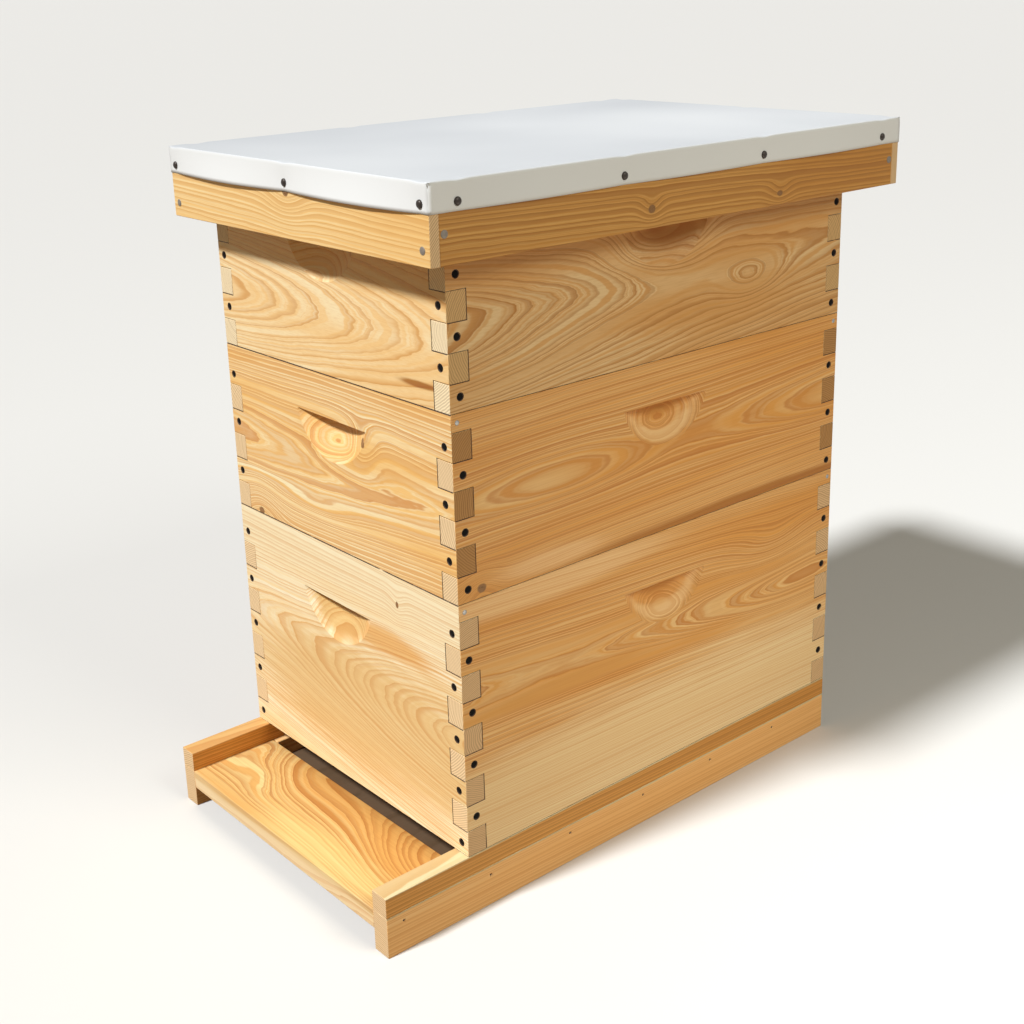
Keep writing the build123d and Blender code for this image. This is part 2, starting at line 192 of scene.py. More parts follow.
def make_knot():
    """A branch through the board: it pushes the rings aside, and may show a dark core with its own rings."""
    tree, given, out = new_group(
        "knot",
        {"Vector": "Vector", "Centre": "Vector", "Reach": "Vector", "Core Size": "Float"},
        {"Swell": "Float", "Core": "Float", "Rings": "Float"},
    )
    away, bell = falloff(tree, given["Vector"], given["Centre"], given["Reach"])
    tree.links.new(bell, out["Swell"])
    ragged = speckle(tree, given["Vector"], 420.0, 2.0)
    edge = calc(tree, "MULTIPLY_ADD", ragged, 0.10, calc(tree, "SUBTRACT", away, 0.05))
    inner = calc(tree, "MULTIPLY", given["Core Size"], 0.7)
    core = calc(tree, "SUBTRACT", 1.0, step_between(tree, edge, inner, given["Core Size"]))
    shown = calc(tree, "GREATER_THAN", given["Core Size"], 0.001)
    tree.links.new(calc(tree, "MULTIPLY", core, shown), out["Core"])
    rings = calc(tree, "MULTIPLY_ADD", calc(tree, "SINE", calc(tree, "MULTIPLY", edge, 70.0)), 0.5, 0.5)
    tree.links.new(rings, out["Rings"])
    return tree


def make_stain():
    """A patch of other colour in the wood, streaked along the grain."""
    tree, given, out = new_group(
        "stain",
        {"Vector": "Vector", "Log": "Vector", "Centre": "Vector", "Reach": "Vector"},
        {"Mask": "Float"},
    )
    bell = falloff(tree, given["Vector"], given["Centre"], given["Reach"])[1]
    streaks = stretched_noise(tree, given["Log"], (8.0, 160.0, 160.0), 3.0, 3.0)["Fac"]
    ragged = calc(tree, "MULTIPLY_ADD", streaks, 0.7, calc(tree, "SUBTRACT", bell, 0.35))
    tree.links.new(step_between(tree, ragged, 0.15, 0.75), out["Mask"])
    return tree


def make_pine_colour():
    """Colour, gloss and relief of planed pine, from its rings, its end grain and the painted shade and grime
    in its joints.
    """
    end_shade = (0.46, 0.36, 0.28, 1.0)
    knot_dark = (0.15, 0.065, 0.02, 1.0)
    knot_light = (0.31, 0.15, 0.05, 1.0)
    joint_shade_and_grime = (0.05, 0.022, 0.009, 1.0)
    tree, given, out = new_group(
        "pine_colour",
        {
            "Vector": "Vector", "Band": "Float", "Line": "Float", "Hair": "Float", "End Lines": "Float",
            "Radius": "Float", "Heart Radius": "Float", "Fibre": "Float", "Tone": "Float",
            "Knot": "Float", "Knot Rings": "Float",
            "Sapwood": "Color", "Heartwood": "Color", "Late Wood": "Color", "Sawn End": "Color",
        },
        {"Color": "Color", "Roughness": "Float", "Height": "Float"},
    )
    wavering = calc(tree, "MULTIPLY_ADD", given["Tone"], 0.02, given["Radius"])
    from_pith = calc(tree, "DIVIDE", wavering, given["Heart Radius"])
    heart = calc(tree, "SUBTRACT", 1.0, step_between(tree, from_pith, 0.8, 1.35))
    streak = calc(tree, "MULTIPLY", step_between(tree, given["Tone"], 0.38, 0.68), 0.8)
    ground = tint(tree, calc(tree, "MAXIMUM", heart, streak), given["Sapwood"], given["Heartwood"])
    ground = tint(tree, calc(tree, "MULTIPLY", given["Hair"], 0.8), ground, given["Heartwood"])
    wood = tint(tree, calc(tree, "MULTIPLY", given["Band"], 0.7), ground, given["Late Wood"])
    wood = tint(tree, calc(tree, "MULTIPLY", given["Line"], 0.75), wood, given["Late Wood"])
    fine = step_between(tree, given["Fibre"], 0.35, 0.75)
    wood = tint(tree, calc(tree, "MULTIPLY", fine, 0.2), wood, given["Late Wood"])

    end_grain = wire(tree, "Attribute", {}, attribute_name="end_grain").outputs["Fac"]
    late_line = calc(tree, "MULTIPLY", given["Line"], 0.4)
    end_line = calc(tree, "MULTIPLY_ADD", given["End Lines"], 0.45, late_line)
    end_dark = tint(tree, 1.0, given["Sawn End"], end_shade, "MULTIPLY")
    wood = tint(tree, end_grain, wood, tint(tree, end_line, given["Sawn End"], end_dark))
    wood = tint(tree, given["Knot"], wood, tint(tree, given["Knot Rings"], knot_dark, knot_light))
    # Where a joint stands open, its line is darkened with painted shade and grime.
    seam = wire(tree, "Attribute", {}, attribute_name="seam").outputs["Fac"]
    open_joint = step_between(tree, speckle(tree, given["Vector"], 70.0, 2.0), 0.15, 0.4)
    wood = tint(tree, calc(tree, "MULTIPLY", seam, open_joint), wood, joint_shade_and_grime)
    tree.links.new(wood, out["Color"])

    rough = calc(tree, "MULTIPLY_ADD", given["Band"], -0.12, 0.62)
    tree.links.new(calc(tree, "MULTIPLY_ADD", end_grain, 0.2, rough), out["Roughness"])
    relief = calc(tree, "MULTIPLY_ADD", given["Fibre"], 0.5, calc(tree, "MULTIPLY", given["Line"], 0.5))
    tree.links.new(relief, out["Height"])
    return tree


growth_rings = make_growth_rings()
knot_group = make_knot()
stain_group = make_stain()
pine_colour = make_pine_colour()

along_x = 0.0
along_y = math.pi / 2


def pine(
    name, grain, pith, tilt, ring, wave, seed, early=0.5, heart=0.05, knots=(), stains=(),
    sapwood=(0.94, 0.66, 0.34), heartwood=(0.88, 0.53, 0.21), late=(0.70, 0.34, 0.095),
    sawn=(0.86, 0.60, 0.33),
):
    """Planed pine from a log whose pith passes through the given point, turned by tilt from the grain's way.

    A knot is its centre, its reach, how far it pushes the rings, and its core's share of the reach.
    A stain is its centre, its reach and its colour, which takes darker on the late wood.
    """
    stain_takes = {
        "Sapwood": (1.0, 1.0, 1.0),
        "Heartwood": (0.96, 0.88, 0.78),
        "Late Wood": (0.80, 0.57, 0.38),
    }
    made = bpy.data.materials.new(name)
    made.use_nodes = True
    tree = made.node_tree
    place = wire(tree, "TexCoord", {}).outputs["Object"]
    log = wire(
        tree, "Mapping",
        {"Vector": place, "Location": pith, "Rotation": (0.0, tilt[0], grain + tilt[1])},
        vector_type="TEXTURE",
    ).outputs[0]
    swell, core, knot_rings = 0.0, 0.0, 0.0
    for centre, reach, push, core_size in knots:
        knot = wire(tree, "Group", {}, node_tree=knot_group)
        feed(tree, knot, {"Vector": place, "Centre": centre, "Reach": reach, "Core Size": core_size})
        swell = calc(tree, "MULTIPLY_ADD", knot.outputs["Swell"], push, swell)
        core = calc(tree, "MAXIMUM", knot.outputs["Core"], core)
        knot_rings = calc(tree, "MAXIMUM", knot.outputs["Rings"], knot_rings)
    colours = {"Sapwood": (*sapwood, 1.0), "Heartwood": (*heartwood, 1.0), "Late Wood": (*late, 1.0)}
    for centre, reach, shade in stains:
        stain = wire(tree, "Group", {}, node_tree=stain_group)
        feed(tree, stain, {"Vector": place, "Log": log, "Centre": centre, "Reach": reach})
        for part, takes in stain_takes.items():
            stained = (*(share * channel for share, channel in zip(takes, shade)), 1.0)
            colours[part] = tint(tree, stain.outputs["Mask"], colours[part], stained)
    rings = wire(tree, "Group", {}, node_tree=growth_rings)
    feed(tree, rings, {
        "Log": log, "Ring Width": ring, "Early Wood": early, "Wave": wave, "Seed": seed, "Swell": swell,
    })
    colour = wire(tree, "Group", {}, node_tree=pine_colour)
    feed(tree, colour, {
        "Vector": place, "Heart Radius": heart, "Knot": core, "Knot Rings": knot_rings,
        "Sawn End": (*sawn, 1.0), **colours,
    })
    for key in ("Band", "Line", "Hair", "End Lines", "Radius", "Fibre", "Tone"):
        tree.links.new(rings.outputs[key], colour.inputs[key])
    bump = wire(tree, "Bump", {"Height": colour.outputs["Height"], "Strength": 0.25, "Distance": 0.0004})
    surface = tree.nodes["Principled BSDF"]
    feed(tree, surface, {
        "Base Color": colour.outputs["Color"], "Roughness": colour.outputs["Roughness"],
        "Normal": bump.outputs["Normal"], "Specular IOR Level": 0.35,
    })
    return made


def merged_copy(node):
    """A CAD piece's mesh with its corners joined and its flat faces whole."""
    shape = bmesh.new()
    shape.from_mesh(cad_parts[node].data)
    bmesh.ops.remove_doubles(shape, verts=shape.verts, dist=1e-6)
    bmesh.ops.dissolve_limit(shape, angle_limit=math.radians(0.2), verts=shape.verts, edges=shape.edges)
    return shape


def ease_edges(shape, easing):
    """Takes the arrises off, and leaves the scooped faces smooth."""
    sharp = [e for e in shape.edges if e.is_manifold and e.calc_face_angle() > math.radians(35)]
    bmesh.ops.bevel(
        shape, geom=sharp, offset=easing, offset_type="OFFSET", affect="EDGES", segments=2, profile=0.5,
        material=-1, clamp_overlap=True,
    )
    for face in shape.faces:
        face.smooth = max(abs(part) for part in face.normal) < 0.999


def mark_end_grain(shape, grain):
    """Marks the faces that are sawn across the grain."""
    axis = 1 if grain == along_y else 0
    layer = shape.faces.layers.float.new("end_grain")
    for face in shape.faces:
        face[layer] = float(abs(face.normal[axis]) > 0.7)


def finish_piece(shape, name, material, body, slot, *nodes):
    """Turns a shape into a piece of the hive that stands for the given CAD pieces."""
    mesh = bpy.data.meshes.new(name)
    shape.to_mesh(mesh)
    shape.free()
    mesh.materials.append(material)
    piece = bpy.data.objects.new(name, mesh)
    bpy.context.scene.collection.objects.link(piece)
    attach(piece, body)
    if nodes:
        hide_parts(*nodes)
    return piece


def facing(point, outward):
    """Matrix that stands a shape made along Z on a face, looking outwards."""
    return Matrix.Translation(point) @ outward.to_track_quat("Z", "Y").to_matrix().to_4x4()


def cut_holes(shape, places, radius, depth):
    """Sinks a round hole into the shape at each place, a little wider at its mouth."""
    flare = 0.15
    drills = bmesh.new()
    for point, outward in places:
        bmesh.ops.create_cone(
            drills, cap_ends=True, segments=16, radius1=radius * (1 - flare), radius2=radius * (1 + flare),
            depth=2 * depth, matrix=facing(point, outward),
        )
    pair = []
    for solid in (shape, drills):
        mesh = bpy.data.meshes.new("drilling")
        solid.to_mesh(mesh)
        solid.free()
        pair.append(bpy.data.objects.new("drilling", mesh))
        bpy.context.scene.collection.objects.link(pair[-1])
    drilling = pair[0].modifiers.new("holes", "BOOLEAN")
    drilling.object = pair[1]
    drilling.solver = "EXACT"
    drilled = bmesh.new()
    drilled.from_object(pair[0], bpy.context.evaluated_depsgraph_get())
    for scrap in pair:
        bpy.data.meshes.remove(scrap.data)
    return drilled


rail_easing = 0.0008
pin_radius = 0.0014
pin_depth = 0.0010
straight = {"ring": 0.0034, "wave": 0.010, "early": 0.35, "heart": 0.01}
rail_low, rail_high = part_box("left_rail")
strip_low, strip_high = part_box("left_rail_strip")
landing_low, landing_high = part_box("landing_board")
pin_level = (landing_low.z + landing_high.z) / 2
side_pins, strip_pins = 6, 3
first_pin, pin_spacing = 0.0183, 0.0985
rail_pins = {"rail": [], "rail_strip": []}
for step in range(side_pins):
    along = rail_low.y + first_pin + step * pin_spacing
    rail_pins["rail"].append((Vector((rail_low.x, along, pin_level)), Vector((-1, 0, 0))))
strip_middle = (strip_low.x + strip_high.x) / 2
for step in range(strip_pins):
    along = rail_low.y + (step + 0.5) * (rail_high.y - rail_low.y) / strip_pins
    rail_pins["rail_strip"].append((Vector((strip_middle, along, strip_high.z)), Vector((0, 0, 1))))
pith_inward, pith_below = 0.03, 0.09
pin_heads = []
for side, mirror, top_light_colour in (
    ("left", Vector((1, 1, 1)), (0.74, 0.47, 0.19)),
    ("right", Vector((-1, 1, 1)), (0.73, 0.62, 0.37)),
):
    for layer, sapwood, heartwood, late in (
        ("rail", (1.0, 0.62, 0.27), (0.94, 0.50, 0.17), (0.76, 0.34, 0.09)),
        ("rail_strip", (0.82, 0.42, 0.115), (0.66, 0.29, 0.060), (0.44, 0.17, 0.028)),
    ):
        node = f"{side}_{layer}"
        low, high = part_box(node)
        outer_face = low.x if side == "left" else high.x
        pith = (outer_face + pith_inward * mirror.x, 0.0, low.z - pith_below)
        # The paler top of each rail and strip is painted light on the face that the key lights.
        lit_top_stain = ((outer_face, 0.0, high.z), (0.2, 3.0, 0.0015), top_light_colour)
        wood = pine(
            f"{node}_pine", along_y, pith, (0.012, 0.012), seed=3.0 * len(node) + low.x,
            stains=(lit_top_stain,), sapwood=sapwood, heartwood=heartwood, late=late, **straight,
        )
        pins = [(point * mirror, outward * mirror) for point, outward in rail_pins[layer]]
        pin_heads += pins
        shape = cut_holes(merged_copy(node), pins, pin_radius, pin_depth)
        ease_edges(shape, rail_easing)
        mark_end_grain(shape, along_y)
        finish_piece(shape, f"{node}_planed", wood, "bottom_board", "rail_wood", node)


# Bottom board nails
# Thin finish nails through the rails into the landing and the floor, and down through the strips.
# Their heads are punched just below the face and have gone dark.
def plain_metal(name, colour, roughness, metallic):
    """Metal with a little unevenness in its colour and gloss."""
    made = bpy.data.materials.new(name)
    made.use_nodes = True
    tree = made.node_tree
    surface = tree.nodes["Principled BSDF"]
    place = wire(tree, "TexCoord", {}).outputs["Object"]
    blotch = speckle(tree, place, 900.0, 3.0)
    darker = tuple(0.45 * part for part in colour)
    feed(tree, surface, {
        "Base Color": tint(tree, blotch, (*darker, 1.0), (*colour, 1.0)),
        "Roughness": calc(tree, "MULTIPLY_ADD", blotch, 0.3, roughness - 0.15),
        "Metallic": metallic,
    })
    return made


def turned_heads(places, profile, segments):
    """The same turned shape at every place: profile gives its radius and height from the rim to the top."""
    heads = bmesh.new()
    for point, outward in places:
        one = bmesh.new()
        rim = [one.verts.new((radius, 0.0, height)) for radius, height in profile]
        for a, b in zip(rim, rim[1:]):
            one.edges.new((a, b))
        bmesh.ops.spin(
            one, geom=one.verts[:] + one.edges[:], cent=(0, 0, 0), axis=(0, 0, 1), angle=2 * math.pi,
            steps=segments, use_merge=True,
        )
        bmesh.ops.remove_doubles(one, verts=one.verts, dist=1e-6)
        bmesh.ops.recalc_face_normals(one, faces=one.faces)
        bmesh.ops.transform(one, matrix=facing(point, outward), verts=one.verts)
        for face in one.faces:
            face.smooth = True
        mesh = bpy.data.meshes.new("head")
        one.to_mesh(mesh)
        one.free()
        heads.from_mesh(mesh)
        bpy.data.meshes.remove(mesh)
    return heads


punched_iron = plain_metal("punched_iron", (0.10, 0.055, 0.030), 0.6, 0.3)
pin_head = [(0.0, -0.0040), (0.0012, -0.0040), (0.0012, -0.0007), (0.0, -0.0006)]
heads = turned_heads(pin_heads, pin_head, 8)
finish_piece(heads, "bottom_nail_heads", punched_iron, "bottom_board", "bright_nail", "bottom_board_nails")


# Landing, floor panel and cleats
# The landing is one board cut from the crown of the log, nailed between the rails. Behind it lies
# a lower plywood panel, under two cleats along the rails and a strip that closes the back.
burl_y = landing_high.y - 0.004
landing_pine = pine(
    "landing_pine", along_x, (0.0, burl_y + 0.010, landing_high.z - 0.060), (0.0, 0.0),
    ring=0.0050, wave=0.012, seed=4.0, early=0.30, heart=0.078,
    knots=(
        ((0.150, burl_y, landing_high.z), (0.075, 0.070, 0.06), -0.045, 0.0),
        ((-0.150, burl_y - 0.005, landing_high.z), (0.055, 0.050, 0.06), 0.030, 0.0),
        ((-0.100, burl_y - 0.045, landing_high.z), (0.030, 0.022, 0.06), 0.010, 0.0),
    ),
    stains=(
        ((0.060, landing_low.y + 0.018, landing_high.z), (0.120, 0.020, 0.010), (0.78, 0.60, 0.26)),
        ((0.0, landing_low.y, landing_low.z), (0.6, 0.016, 0.016), (0.93, 0.73, 0.44)),
    ),
    sapwood=(0.77, 0.60, 0.27), heartwood=(0.67, 0.35, 0.095), late=(0.44, 0.16, 0.03),
)
shape = merged_copy("landing_board")
ease_edges(shape, rail_easing)
mark_end_grain(shape, along_x)
finish_piece(shape, "landing_planed", landing_pine, "bottom_board", "floor_wood", "landing_board")

cleat_pith = (0.05, 0.0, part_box("floor_cleats")[0].z - 0.08)
cleat_pine = pine("cleat_pine", along_y, cleat_pith, (0.01, 0.01), seed=9.0, **straight)
shape = merged_copy("floor_cleats")
ease_edges(shape, rail_easing)
finish_piece(shape, "cleats_planed", cleat_pine, "bottom_board", "rail_wood", "floor_cleats")

# The panel is painted dark, as painted shade in the entrance slot behind the landing.
panel_slot_shade = {"sapwood": (0.15, 0.095, 0.055), "heartwood": (0.13, 0.08, 0.045), "late": (0.10, 0.06, 0.03)}
peeled = {"tilt": (0.05, 0.0), "ring": 0.012, "wave": 0.06}
floor_pith = (0.0, 0.0, landing_low.z - 0.4)
floor_veneer = pine("floor_veneer", along_y, floor_pith, seed=21.0, heart=0.4, **peeled, **panel_slot_shade)
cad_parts["floor_panel"].data.materials[0] = floor_veneer


# Boxes
# Four finger-jointed boards each, planed outside, with a scooped grip under a straight ledge.
# Every finger is nailed, and the nails are punched just below the face.
finger = 0.0254
rest_strip = 0.015875
board = 0.0206
box_easing = 0.0006
hole_radius = 0.0032
hole_depth = 0.0012
nail_slip = 0.0007
punched = random.Random(7)


def box_nail_places(box):
    """Where each nail of a box is driven: its board, the point on the face and the way that it faces."""
    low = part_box(f"{box}_left_board")[0]
    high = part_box(f"{box}_right_board")[1]
    middle = (low + high) / 2
    half = (high - low) / 2
    fingers = round((high.z - low.z - rest_strip) / finger)
    places = []
    for step in range(fingers):
        level = high.z - rest_strip - (step + 0.5) * finger
        for out in (-1, 1):
            for end in (-1, 1):
                slip = Vector((punched.gauss(0, 1), punched.gauss(0, 1))) * nail_slip
                if step % 2 == 0:
                    side = "front" if out < 0 else "back"
                    across = middle.x + end * (half.x - board / 2) + slip.x
                    point = Vector((across, middle.y + out * half.y, level + slip.y))
                    outward = Vector((0, out, 0))
                else:
                    side = "left" if out < 0 else "right"
                    across = middle.y + end * (half.y - board / 2) + slip.x
                    point = Vector((middle.x + out * half.x, across, level + slip.y))
                    outward = Vector((out, 0, 0))
                places.append((f"{box}_{side}_board", point, outward))
    return places


def mark_seams(shape, grain, low, high):
    """Marks the eased edges that lie against a neighbouring board, where a joint line of painted shade and
    grime shows.

    The side boards close up tighter on each other, so their top edges stay clean.
    """
    edge_zone = 0.001
    axis = 1 if grain == along_y else 0
    layer = shape.faces.layers.float.new("seam")
    for face in shape.faces:
        width = face.calc_area() / max(e.calc_length() for e in face.edges)
        centre = face.calc_center_median()
        from_end = min(centre[axis] - low[axis], high[axis] - centre[axis])
        at_corner = edge_zone < from_end < board + edge_zone
        at_foot = centre.z - low.z < edge_zone
        at_top = high.z - centre.z < edge_zone and grain == along_x
        eased = face.smooth and width < 2 * box_easing
        face[layer] = float(eased and (at_corner or at_foot or at_top))


def box_board(box, side, nails, material):
    """One board of a box with its nail holes, eased edges and joint lines."""
    node = f"{box}_{side}_board"
    grain = along_x if side in ("front", "back") else along_y
    low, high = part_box(node)
    holes = [(point, outward) for name, point, outward in nails if name == node]
    shape = cut_holes(merged_copy(node), holes, hole_radius, hole_depth)
    ease_edges(shape, box_easing)
    mark_end_grain(shape, grain)
    mark_seams(shape, grain, low, high)
    finish_piece(shape, f"{node}_planed", material, f"{box}_box", "box_wood", node)


outer = {side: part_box(f"deep_{side}_board") for side in ("front", "back", "left", "right")}
front_y, back_y = outer["front"][0].y, outer["back"][1].y
left_x, right_x = outer["left"][0].x, outer["right"][1].x
middle_y = (front_y + back_y) / 2

cream = {
    "sapwood": (0.97, 0.79, 0.48), "heartwood": (0.91, 0.59, 0.25), "late": (0.68, 0.33, 0.085),
    "sawn": (0.71, 0.455, 0.20), "heart": 0.02,
}
honey = {
    "sapwood": (0.98, 0.84, 0.52), "heartwood": (0.91, 0.53, 0.16), "late": (0.64, 0.25, 0.04),
    "sawn": (0.50, 0.26, 0.09), "heart": 0.02,
}
blond = {
    "sapwood": (0.98, 0.89, 0.65), "heartwood": (0.94, 0.69, 0.35), "late": (0.76, 0.39, 0.11),
    "sawn": (0.80, 0.53, 0.28), "heart": 0.02,
}
golden = {
    "sapwood": (0.93, 0.61, 0.265), "heartwood": (0.79, 0.355, 0.072), "late": (0.55, 0.19, 0.027),
    "sawn": (0.90, 0.66, 0.38), "heart": 0.02,
}
tawny = {
    "sapwood": (0.84, 0.59, 0.30), "heartwood": (0.69, 0.34, 0.095), "late": (0.45, 0.18, 0.03),
    "sawn": (0.97, 0.80, 0.52), "heart": 0.02,
}


def grip_light_and_shade(box, ledge_below_top):
    """Painted light and shade in a right grip: a painted highlight low in the scoop, painted shade under the
    ledge.
    """
    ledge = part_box(f"{box}_right_board")[1].z - ledge_below_top
    # The pale patch is a painted highlight on the scoop's lower rim, which faces up into the light.
    pale = ((right_x - 0.0045, middle_y, ledge - 0.026), (0.0032, 0.058, 0.034), (0.96, 0.66, 0.32))
    # The browner patch is painted shade under the ledge.
    ledge_shade = ((right_x - 0.0150, middle_y, ledge - 0.004), (0.0065, 0.050, 0.030), (0.70, 0.35, 0.09))
    return pale, ledge_shade


box_pines = {
    ("deep", "front"): pine(
        "deep_front_pine", along_x, (0.0065, front_y + 0.050, 0.186), (0.06, -0.06),
        ring=0.0034, wave=0.024, seed=1.0, early=0.35,
        knots=(
            ((0.0883, front_y, 0.2769), (0.012, 0.06, 0.018), 0.006, 0.20),
            ((0.1850, front_y, 0.1680), (0.170, 0.06, 0.080), -0.034, 0.0),
        ),
        stains=(
            ((0.0, front_y, 0.287), (0.5, 0.05, 0.030), (0.98, 0.86, 0.59)),
            ((0.06, front_y, 0.233), (0.09, 0.02, 0.014), (0.86, 0.52, 0.20)),
            ((0.05, front_y, 0.145), (0.25, 0.05, 0.070), (0.83, 0.60, 0.29)),
            ((-0.0105, front_y + 0.0085, 0.233), (0.075, 0.0070, 0.045), (0.75, 0.51, 0.21)),
        ),
        **blond,
    ),
    ("deep", "right"): pine(
        "deep_right_pine", along_y, (right_x - 0.071, 0.047, 0.204), (0.03, 0.006),
        ring=0.0018, wave=0.016, seed=2.0, early=0.20,
        knots=(
            ((right_x, 0.1750, 0.2450), (0.06, 0.060, 0.026), 0.013, 0.0),
            ((right_x, 0.2300, 0.1970), (0.06, 0.165, 0.045), -0.016, 0.0),
        ),
        stains=(
            ((right_x, -0.150, 0.293), (0.05, 0.17, 0.014), (0.97, 0.66, 0.33)),
            # The pale stain along the foot of this board is painted light, standing in for light thrown up
            # from the floor.
            ((right_x, 0.0, 0.088), (0.05, 0.6, 0.070), (1.0, 0.79, 0.46)),
            ((right_x, -0.120, 0.190), (0.05, 0.12, 0.010), (0.80, 0.42, 0.12)),
            *grip_light_and_shade("deep", 0.052),
        ),
        **golden,
    ),
    ("deep", "back"): pine(
        "deep_back_pine", along_x, (-0.05, back_y - 0.04, 0.165), (0.03, -0.12),
        ring=0.0048, wave=0.03, seed=3.0, **blond,
    ),
    ("deep", "left"): pine(
        "deep_left_pine", along_y, (left_x + 0.05, -0.06, 0.165), (0.03, 0.08),
        ring=0.005, wave=0.03, seed=4.0, **golden,
    ),
    ("middle_super", "front"): pine(
        "middle_front_pine", along_x, (-0.05, front_y + 0.060, 0.387), (-0.03, 0.03),
        ring=0.0034, wave=0.024, seed=5.0, early=0.15,
        knots=(
            ((-0.1363, front_y, 0.3075), (0.034, 0.06, 0.026), 0.018, 0.16),
            ((0.0470, front_y, 0.4195), (0.022, 0.06, 0.020), 0.011, 0.26),
            ((-0.0300, front_y, 0.3380), (0.060, 0.06, 0.012), -0.006, 0.0),
            ((0.0200, front_y, 0.3920), (0.050, 0.06, 0.012), 0.006, 0.0),
        ),
        **honey,
    ),
    ("middle_super", "right"): pine(
        "middle_right_pine", along_y, (right_x - 0.080, -0.10, 0.392), (-0.02, 0.0),
        ring=0.0017, wave=0.014, seed=6.0, early=0.15,
        knots=(
            ((right_x, -0.1200, 0.3950), (0.06, 0.10, 0.030), -0.006, 0.0),
            ((right_x, 0.2800, 0.3850), (0.06, 0.13, 0.030), -0.007, 0.0),
            ((right_x, -0.2106, 0.3134), (0.06, 0.020, 0.017), 0.009, 0.28),
        ),
        stains=(
            ((right_x, 0.120, 0.3060), (0.05, 0.23, 0.0090), (0.50, 0.22, 0.045)),
            ((right_x, -0.127, 0.3170), (0.05, 0.07, 0.009), (0.95, 0.63, 0.31)),
            *grip_light_and_shade("middle_super", 0.041),
        ),
        **golden,
    ),
    ("middle_super", "back"): pine(
        "middle_back_pine", along_x, (0.06, back_y - 0.05, 0.36), (0.04, 0.10),
        ring=0.0045, wave=0.03, seed=7.0, early=0.2, **honey,
    ),
    ("middle_super", "left"): pine(
        "middle_left_pine", along_y, (left_x + 0.06, 0.10, 0.37), (0.02, 0.06),
        ring=0.0045, wave=0.03, seed=8.0, **golden,
    ),
    ("upper_super", "front"): pine(
        "upper_front_pine", along_x, (-0.08, front_y + 0.036, 0.533), (0.0, 0.115),
        ring=0.0050, wave=0.014, seed=9.0, early=0.50,
        stains=(((0.139, front_y, 0.491), (0.030, 0.01, 0.003), (0.44, 0.20, 0.045)),),
        **cream,
    ),
    ("upper_super", "right"): pine(
        "upper_right_pine", along_y, (right_x - 0.050, -0.18, 0.545), (-0.03, 0.075),
        ring=0.0032, wave=0.050, seed=10.0, early=0.40,
        knots=(
            ((right_x, 0.0125, 0.592), (0.06, 0.05, 0.030), 0.030, 0.0),
            ((right_x, 0.1300, 0.532), (0.06, 0.04, 0.020), -0.010, 0.0),
        ),
        # The dark stain round this grip, just under the lid rim, is painted shade under the ledge and the
        # rim.
        stains=(((right_x, 0.030, 0.590), (0.05, 0.04, 0.018), (0.55, 0.28, 0.09)),),
        **tawny,
    ),
    ("upper_super", "back"): pine(
        "upper_back_pine", along_x, (0.10, back_y - 0.03, 0.545), (0.02, -0.13),
        ring=0.005, wave=0.024, seed=11.0, **cream,
    ),
    ("upper_super", "left"): pine(
        "upper_left_pine", along_y, (left_x + 0.05, 0.05, 0.545), (0.04, 0.08),
        ring=0.0055, wave=0.044, seed=12.0, **tawny,
    ),
}
box_nails = {}
for box in ("deep", "middle_super", "upper_super"):
    box_nails[box] = box_nail_places(box)
    for side in ("front", "right", "back", "left"):
        box_board(box, side, box_nails[box], box_pines[box, side])


# Box nails
# Round black-oxide nails in every finger, their heads just below the face and their shanks out
# of sight in the wood.
black_oxide = plain_metal("black_oxide", (0.008, 0.007, 0.006), 0.85, 0.0)
black_oxide.node_tree.nodes["Principled BSDF"].inputs["Specular IOR Level"].default_value = 0.1
sunk_head = [
    (0.0, -0.0040), (0.0031, -0.0040), (0.0031, -0.0006),
    (0.0024, -0.0004), (0.0012, -0.0003), (0.0, -0.0003),
]
for box, places in box_nails.items():
    heads = turned_heads([(point, outward) for name, point, outward in places], sunk_head, 12)
    finish_piece(heads, f"{box}_nail_heads", black_oxide, f"{box}_box", "dark_nail", f"{box}_nails")


# Corner pins
# A bright steel pin near the top of each side board's ends, which holds the thin lip that the
# frame rest leaves on the end board.
bright_steel = plain_metal("bright_steel", (0.42, 0.40, 0.37), 0.45, 0.8)
steel_head = [(0.0, -0.0012), (0.0023, -0.0012), (0.0023, 0.0001), (0.0018, 0.0003), (0.0, 0.0003)]
pin_from_end, pin_from_top = 0.0065, 0.0075
for box in box_nails:
    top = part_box(f"{box}_right_board")[1].z
    corner_pins = []
    for face, outward in ((left_x, Vector((-1, 0, 0))), (right_x, Vector((1, 0, 0)))):
        for along in (front_y + pin_from_end, back_y - pin_from_end):
            corner_pins.append((Vector((face, along, top - pin_from_top)), outward))
    heads = turned_heads(corner_pins, steel_head, 12)
    finish_piece(heads, f"{box}_corner_pins", bright_steel, f"{box}_box", "bright_nail")


# Frames
# Bars of pale lime wood, with lugs that hang on the rests of the box, round a sheet of wax.
# The sheet is embossed with the outlines of the cells that the bees build on.
lime = {"sapwood": (0.84, 0.66, 0.40), "heartwood": (0.80, 0.60, 0.33), "late": (0.70, 0.48, 0.23)}
frame_lime = pine(
    "frame_lime", along_y, (0.0, 0.0, 0.0), (0.01, 0.01),
    ring=0.004, wave=0.01, seed=31.0, heart=0.2, **lime,
)
cell = 0.0053


